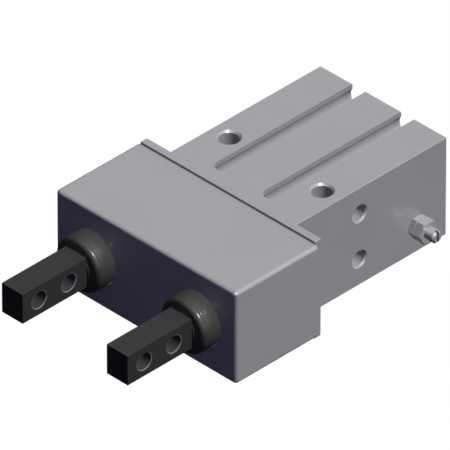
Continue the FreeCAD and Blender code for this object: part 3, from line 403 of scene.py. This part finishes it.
def made_thread_ridge():
    """One helical ridge about Z that starts at the origin and climbs by its pitch."""
    group, start, end = geometry_group("thread_ridge", (
        ("Radius", "NodeSocketFloat", 2.5 * MM),
        ("Pitch", "NodeSocketFloat", 1.0 * MM),
        ("Turns", "NodeSocketFloat", 8.0),
        ("Depth", "NodeSocketFloat", 0.12 * MM),
        ("Material", "NodeSocketMaterial", None),
    ))
    spiral = group.nodes.new("GeometryNodeCurveSpiral")
    upright = group.nodes.new("GeometryNodeSetCurveNormal")
    spiral.inputs["Resolution"].default_value = RIDGE_STEPS
    upright.mode = "Z_UP"
    for label in ("Start Radius", "End Radius"):
        group.links.new(start.outputs["Radius"], spiral.inputs[label])
    group.links.new(start.outputs["Turns"], spiral.inputs["Rotations"])
    group.links.new(product(group, start.outputs["Pitch"], start.outputs["Turns"]),
                    spiral.inputs["Height"])
    group.links.new(spiral.outputs["Curve"], upright.inputs["Curve"])
    section = group.nodes.new("GeometryNodeCurvePrimitiveCircle")
    shaped = group.nodes.new("GeometryNodeTransform")
    section.inputs["Resolution"].default_value = RIDGE_CORNERS
    section.inputs["Radius"].default_value = 1.0
    size = group.nodes.new("ShaderNodeCombineXYZ")
    group.links.new(start.outputs["Depth"], size.inputs["X"])
    group.links.new(product(group, start.outputs["Pitch"], RIDGE_WIDE_SHARE), size.inputs["Y"])
    size.inputs["Z"].default_value = 1.0
    group.links.new(section.outputs["Curve"], shaped.inputs["Geometry"])
    group.links.new(size.outputs["Vector"], shaped.inputs["Scale"])
    ridge = group.nodes.new("GeometryNodeCurveToMesh")
    dressed = group.nodes.new("GeometryNodeSetMaterial")
    ridge.inputs["Fill Caps"].default_value = True
    group.links.new(upright.outputs["Curve"], ridge.inputs["Curve"])
    group.links.new(shaped.outputs["Geometry"], ridge.inputs["Profile Curve"])
    group.links.new(ridge.outputs["Mesh"], dressed.inputs["Geometry"])
    group.links.new(start.outputs["Material"], dressed.inputs["Material"])
    group.links.new(dressed.outputs["Geometry"], end.inputs["Geometry"])
    return group


def made_copies_at():
    """A copy of one piece on each point, its Z axis turned along the point's way."""
    group, start, end = geometry_group("copies_at", (
        ("Piece", "NodeSocketObject", None), ("Material", "NodeSocketMaterial", None)))
    piece = group.nodes.new("GeometryNodeObjectInfo")
    way = group.nodes.new("GeometryNodeInputNamedAttribute")
    way.data_type = "FLOAT_VECTOR"
    way.inputs["Name"].default_value = "way"
    turn = group.nodes.new("FunctionNodeAlignRotationToVector")
    placed = group.nodes.new("GeometryNodeInstanceOnPoints")
    turn.axis = "Z"
    real = group.nodes.new("GeometryNodeRealizeInstances")
    dressed = group.nodes.new("GeometryNodeSetMaterial")
    for source, target in (
        (start.outputs["Piece"], piece.inputs["Object"]),
        (way.outputs["Attribute"], turn.inputs["Vector"]),
        (start.outputs["Geometry"], placed.inputs["Points"]),
        (piece.outputs["Geometry"], placed.inputs["Instance"]),
        (turn.outputs["Rotation"], placed.inputs["Rotation"]),
        (placed.outputs["Instances"], real.inputs["Geometry"]),
        (real.outputs["Geometry"], dressed.inputs["Geometry"]),
        (start.outputs["Material"], dressed.inputs["Material"]),
        (dressed.outputs["Geometry"], end.inputs["Geometry"]),
    ):
        group.links.new(source, target)
    return group


THREAD_RIDGE, COPIES_AT = made_thread_ridge(), made_copies_at()


def settled(piece):
    """Bake a piece's modifiers into a plain mesh with its faces turned outwards."""
    mesh = baked(piece)
    work = bmesh.new()
    work.from_mesh(mesh)
    bmesh.ops.recalc_face_normals(work, faces=work.faces)
    work.to_mesh(mesh)
    work.free()
    piece.data = mesh
    return piece


def grown(piece, group, **values):
    """Run a geometry group over a piece with named values and keep the plain mesh."""
    modifier = piece.modifiers.new(group.name, "NODES")
    modifier.node_group = group
    for item in group.interface.items_tree:
        if item.in_out == "INPUT" and item.name in values:
            modifier[item.identifier] = values[item.name]
    return settled(piece)


def copies(name, piece, places, material):
    """Copies of a piece at (point, way) places, joined in one object; the piece goes."""
    mesh = bpy.data.meshes.new(name)
    mesh.from_pydata([point for point, _ in places], [], [])
    ways = mesh.attributes.new("way", "FLOAT_VECTOR", "POINT")
    for at, (_, way) in zip(ways.data, places):
        at.vector = way
    made = grown(object_of(name, mesh), COPIES_AT, Piece=piece, Material=material)
    bpy.data.objects.remove(piece)
    return made


def mouths(names, sunk):
    """The (point, way) at which the holes of some mounts start, sunk under their faces.
    A pair of holes lies upright on the side faces, and along X on all others."""
    found = []
    for mount in frame["record"]["mounts"]:
        if mount["name"] in names:
            centre, out = Vector(mount["pos_m"]), Vector(mount["axis"])
            line = Vector((0, 0, 1)) if out.x else Vector((1, 0, 0))
            apart = MM * sum(value for label, value in mount["dims"].items()
                             if label.startswith("spacing"))
            for share in (-0.5, 0.5) if apart else (0.0,):
                found.append((centre + line * apart * share - out * sunk, -out))
    return found


for size, holes, bore, pitch, deep, sunk in (
    ("large", ("top_holes", "bottom_holes"), 2.6, 1.0, 8.0, 4.2),
    ("side", ("right_side_holes", "left_side_holes"), 2.1, 0.8, 4.8, 3.4),
    ("rear", ("rear_holes",), 2.1, 0.8, 6.4, 0.6),
    ("port", ("front_port", "rear_port"), 2.1, 0.8, 4.8, 0.6),
):
    ridge = grown(object_of("ridge", bpy.data.meshes.new("ridge")), THREAD_RIDGE,
                  Radius=bore * MM, Pitch=pitch * MM, Turns=deep / pitch,
                  Depth=RIDGE_DEEP_SHARE * pitch * MM, Material=ANODISED)
    threads = copies("gripper_threads_" + size, ridge, mouths(holes, sunk * MM), ANODISED)
    smooth_below(threads.data, 40)
    finished(threads, ANODISED, "housing", "anodised_aluminium")


# The front cover: a deep box milled from the same aluminium, with its outer edges
# rounded over, screwed to the flange from behind.
finished(with_even_flats(joined_copy("gripper_front_cover", "front_cover", angle=25)), ANODISED,
         "housing", "anodised_aluminium", "front_cover")


# The screws: flat head screws of blackened steel with a hexagon socket. Four from behind
# the flange hold the cover, and four inside the cover hold the guide block to the body.
BLACK_SCREW = finish_of("black_screw_steel", linear(52, 52, 54), 0.5, 0.38, (2600.0, 0.2, 0.05))
SOCKET_SHARE, TIP_SHARE, RIM_SHARE, HEAD_SHARE = 0.34, 0.15, 0.1, 0.6
ON_AXIS = 1e-7
TURNS_TO = {
    "Y": Matrix(((1, 0, 0), (0, 0, 1), (0, -1, 0))).to_4x4(),
    "Z": Matrix.Identity(4),
}


def hexagon_at(corner, turn):
    """How far out the side of a hexagon lies at a turn, for the radius of its corners."""
    return corner * cos(pi / 6) / cos(turn % (pi / 3) - pi / 6)


def turned_mesh(name, profile, axis="Z", at=Vector(), steps=96, closed=False):
    """Spin a profile about an axis through a point; each of its points is (along, radius),
    or (along, corner, hexagon_at) where the section is a hexagon."""
    work = bmesh.new()
    rings = []
    for along, radius, *reach in profile:
        if radius < ON_AXIS:
            rings.append([work.verts.new((0, 0, along))])
            continue
        turns = [2 * pi * step / steps for step in range(steps)]
        out = [reach[0](radius, turn) if reach else radius for turn in turns]
        rings.append([work.verts.new((far * cos(turn), far * sin(turn), along))
                      for far, turn in zip(out, turns)])
    pairs = list(zip(rings, rings[1:])) + ([(rings[-1], rings[0])] if closed else [])
    for low, high in pairs:
        for step in range(steps):
            corners = [low[step % len(low)], low[(step + 1) % len(low)],
                       high[(step + 1) % len(high)], high[step % len(high)]]
            work.faces.new(list(dict.fromkeys(corners)))
    bmesh.ops.recalc_face_normals(work, faces=work.faces)
    mesh = bpy.data.meshes.new(name)
    work.to_mesh(mesh)
    work.free()
    mesh.transform(Matrix.Translation(at) @ TURNS_TO[axis])
    return mesh


def screw_mesh(size, length):
    """A flat head screw from its head face at the origin along +Z, as deep as its length."""
    shank, socket, tip = size / 2, size * SOCKET_SHARE, size * TIP_SHARE
    return turned_mesh("screw", [
        (shank, 0.0), (shank, socket, hexagon_at), (0.0, socket, hexagon_at), (0.0, size),
        (size * RIM_SHARE, size), (size * HEAD_SHARE, shank),
        (length - tip, shank), (length, shank - tip), (length, 0.0),
    ], steps=48)


for node, size, way in (("cover_screws", 2.5 * MM, -1), ("guide_screws", 3.0 * MM, 1)):
    low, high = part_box(node)
    head = low.y if way > 0 else high.y
    corners = [(Vector((x, head, z)), Vector((0, way, 0)))
               for x in (low.x + size, high.x - size) for z in (low.z + size, high.z - size)]
    screws = copies("gripper_" + node, object_of("screw", screw_mesh(size, high.y - low.y)),
                    corners, BLACK_SCREW)
    smooth_below(screws.data, 32)
    finished(screws, BLACK_SCREW, "housing", "screw_steel", node)


# The fingers: one piece of steel with each jaw, ground square, its edges just broken,
# and blackened. Each finger carries two cross holes for an attachment; the rims of the
# holes are worn to bare steel.
BLACK_OXIDE = finish_of("black_oxide_steel", linear(53, 53, 52), 0.0, 0.42, (2600.0, 0.1, 0.03),
                        (90.0, 0.06), coat=(0.1, 0.2), shine=0.15)
BARE_STEEL, BARE_ON_WALLS = linear(120, 120, 122), 0.1
FINGER_EDGE, HOLE_EDGE = 0.1 * MM, 0.25 * MM
HOLE_RADIUS, FIRST_HOLE, HOLE_PITCH = 2.3 * MM, 5.46 * MM, 9.8 * MM
NEAR_WALL = 0.1 * MM
SHARP_DEGREES = 40
SIDE_LEAN, WALL_LEAN = 0.95, 0.1


def show_bored_steel(material, colour):
    """Let the faces marked as bored show bare steel, as far as their mark says."""
    nodes, links = material.node_tree.nodes, material.node_tree.links
    texture = next(node for node in nodes if node.type == "GROUP")
    mark, mixed = nodes.new("ShaderNodeAttribute"), nodes.new("ShaderNodeMixRGB")
    mark.attribute_name = "bored"
    mixed.inputs["Color1"].default_value = texture.inputs["Color"].default_value
    mixed.inputs["Color2"].default_value = colour
    links.new(mark.outputs["Fac"], mixed.inputs["Fac"])
    links.new(mixed.outputs["Color"], texture.inputs["Color"])


def on_a_hole(point, lines, radius, beyond=0.0):
    """Whether a point lies on the wall of a hole along X, or as far beyond it as given;
    lines are the holes' (y, z)."""
    return any(-NEAR_WALL < hypot(point.y - y, point.z - z) - radius < NEAR_WALL + beyond
               for y, z in lines)


def with_broken_edges(piece, width, hole_width, lines, radius):
    """Break a piece's sharp edges, those of its holes wider, and bake the result."""
    work = bmesh.new()
    work.from_mesh(piece.data)
    weight = work.edges.layers.float.new("bevel_weight_edge")
    for edge in work.edges:
        if len(edge.link_faces) == 2 and edge.calc_face_angle() > radians(SHARP_DEGREES):
            rim = on_a_hole(sum((end.co for end in edge.verts), Vector()) / 2, lines, radius)
            edge[weight] = 1.0 if rim else width / hole_width
    work.to_mesh(piece.data)
    work.free()
    bevel = piece.modifiers.new("broken_edges", "BEVEL")
    bevel.width = hole_width
    bevel.segments = 2
    bevel.limit_method = "WEIGHT"
    bevel.use_clamp_overlap = False
    return settled(piece)


def mark_bored(mesh, lines, radius, edge):
    """Mark the broken edges of the holes as bare, and their walls by a small share."""
    bored = mesh.attributes.new("bored", "FLOAT", "FACE")
    for face, mark in zip(mesh.polygons, bored.data):
        lean = abs(face.normal.x)
        if lean < SIDE_LEAN and on_a_hole(face.center, lines, radius, edge):
            mark.value = 1.0 if lean > WALL_LEAN else BARE_ON_WALLS


show_bored_steel(BLACK_OXIDE, BARE_STEEL)
for side in ("right", "left"):
    low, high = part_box("jaw_" + side)
    lines = [(low.y + along, (low.z + high.z) / 2)
             for along in (FIRST_HOLE, FIRST_HOLE + HOLE_PITCH)]
    jaw = with_broken_edges(joined_copy("gripper_jaw_" + side, "jaw_" + side),
                            FINGER_EDGE, HOLE_EDGE, lines, HOLE_RADIUS)
    mark_bored(jaw.data, lines, HOLE_RADIUS, HOLE_EDGE)
    smooth_below(jaw.data, 32)
    finished(with_even_flats(jaw), BLACK_OXIDE, "jaw_" + side, "black_steel", "jaw_" + side)


# The boots: caps of moulded nitrile rubber. Each is hooked behind the cover's front
# wall and closes round the jaw's neck; the real cap leans over as the jaw slides, but here it is
# built upright and stays so.
RUBBER = finish_of("moulded_rubber", linear(60, 61, 57), 0.0, 0.5, (1800.0, 0.1, 0.03),
                   (120.0, 0.06), coat=(0.35, 0.18), shine=0.2)
BOOT_RADIUS, BOOT_WALL, BOOT_CROWN = 7.43 * MM, 1.2 * MM, 1.5 * MM
NECK_HOLE, NECK_LIP, NECK_LIP_SHARE = 4.08 * MM, 0.35 * MM, 0.6
PARTING_WIDE, PARTING_DEEP = 0.16 * MM, 0.05 * MM
STEP_FROM, STEP_TO, STEP_DEEP = 0.25 * MM, 0.02 * MM, 0.12 * MM
FLANGE_THICK, INNER_CORNER = 0.8 * MM, 0.5 * MM


def arc(radius, start, end, steps):
    """Points of an arc about zero, angles in degrees, as (along, radius) pairs."""
    turns = [radians(start + (end - start) * step / steps) for step in range(steps + 1)]
    return [(radius * cos(turn), radius * sin(turn)) for turn in turns]


for side in ("right", "left"):
    low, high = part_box("boot_" + side)
    centre = (low + high) / 2
    flange = (high.x - low.x) / 2
    front, back, inside = low.y, high.y, high.y - FLANGE_THICK
    crown, groove = front + BOOT_CROWN, front + BOOT_CROWN + PARTING_WIDE
    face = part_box("front_cover")[0].y
    profile = (
        [(front, NECK_HOLE + NECK_LIP)]
        + [(crown + along, BOOT_RADIUS - BOOT_CROWN + out)
           for along, out in arc(BOOT_CROWN, 180, 90, 12)]
        + [(crown + PARTING_WIDE / 2, BOOT_RADIUS - PARTING_DEEP), (groove, BOOT_RADIUS)]
        + [(face - STEP_FROM, BOOT_RADIUS), (face - STEP_TO, BOOT_RADIUS - STEP_DEEP),
           (inside, BOOT_RADIUS - STEP_DEEP)]
        + [(inside, flange), (back, flange), (back, BOOT_RADIUS - BOOT_WALL)]
        + [(front + BOOT_WALL + INNER_CORNER, BOOT_RADIUS - BOOT_WALL),
           (front + BOOT_WALL, BOOT_RADIUS - BOOT_WALL - INNER_CORNER)]
        + [(front + BOOT_WALL, NECK_HOLE), (front + NECK_LIP * NECK_LIP_SHARE, NECK_HOLE)]
    )
    mesh = turned_mesh("boot", profile, "Y", Vector((centre.x, 0, centre.z)), 128, closed=True)
    boot = object_of("gripper_boot_" + side, mesh)
    smooth_below(boot.data, 50)
    boot.data.materials.append(RUBBER)
    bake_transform(boot)
    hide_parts("boot_" + side)


# The ball rows: polished steel balls above and below each jaw, in a bronze cage that
# follows the jaw at half its speed.
STEEL = finish_of("ground_steel", linear(176, 177, 180), 0.9, 0.28, (2200.0, 0.1, 0.03))
BALL, BALLS_IN_ROW = 1.25 * MM, 3
for side in ("right", "left"):
    low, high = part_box("balls_" + side)
    pitch = (high.x - low.x - 2 * BALL) / (BALLS_IN_ROW - 1)
    rows = [(Vector((low.x + BALL + step * pitch, (low.y + high.y) / 2, level)),
             Vector((0, 0, 1)))
            for level in (low.z + BALL, high.z - BALL) for step in range(BALLS_IN_ROW)]
    ball = turned_mesh("ball", arc(BALL, 180, 0, 20), steps=40)
    balls = copies("gripper_balls_" + side, object_of("ball", ball), rows, STEEL)
    smooth_below(balls.data, 60)
    finished(balls, STEEL, "cage_" + side, "guide_steel", "balls_" + side)


# What closes the cylinder behind: an aluminium end cap, held by a ring of spring steel.
SPRING_STEEL = finish_of("blued_spring_steel", linear(70, 72, 80), 0.8, 0.35,
                         (2000.0, 0.15, 0.05))
finished(joined_copy("gripper_end_cap", "end_cap"), ANODISED, "housing", "anodised_aluminium",
         "end_cap")
finished(joined_copy("gripper_snap_ring", "snap_ring"), SPRING_STEEL, "housing", "spring_steel",
         "snap_ring")


# The speed control needle: a hexagonal bushing screwed into the body, a lock nut and the
# needle itself with a slot for a screwdriver, all of bright nickel plated steel.
NICKEL = finish_of("nickel_plated_steel", linear(179, 180, 180), 0.15, 0.42,
                   (2400.0, 0.06, 0.03), coat=(0.8, 0.18))
for node, body in (
    ("needle_bushing", "housing"), ("needle_lock_nut", "housing"), ("needle", "needle"),
):
    finished(with_even_flats(joined_copy("gripper_" + node, node)), NICKEL, body,
             "nickel_steel", node)


# Pieces inside the body and the cover keep the solids' own shape. They show only when
# the gripper is taken apart, and each has the finish of its real metal or rubber.
BRONZE = finish_of("turned_bronze", linear(178, 140, 86), 0.85, 0.36, (2000.0, 0.12, 0.04))
TURNED_ALUMINIUM = finish_of("turned_aluminium", linear(190, 190, 194), 0.8, 0.34,
                             (2000.0, 0.08, 0.03))
SEAL_RUBBER = finish_of("seal_rubber", linear(40, 40, 42), 0.0, 0.5, (1600.0, 0.2, 0.1))
MAGNET = finish_of("bonded_magnet", linear(58, 57, 56), 0.15, 0.6, (1500.0, 0.25, 0.12))
FINISHES = {
    "anodised_aluminium": ANODISED, "black_steel": BLACK_OXIDE, "guide_steel": STEEL,
    "screw_steel": BLACK_SCREW, "spring_steel": SPRING_STEEL, "nickel_steel": NICKEL,
    "piston_aluminium": TURNED_ALUMINIUM, "bronze": BRONZE, "magnet": MAGNET,
    "rubber": RUBBER, "seal_rubber": SEAL_RUBBER,
}
for entry in frame["record"]["subparts"]:
    node = frame["nodes"][entry["node"]]
    node.data.materials.clear()
    node.data.materials.append(FINISHES[entry["material_slot"]])
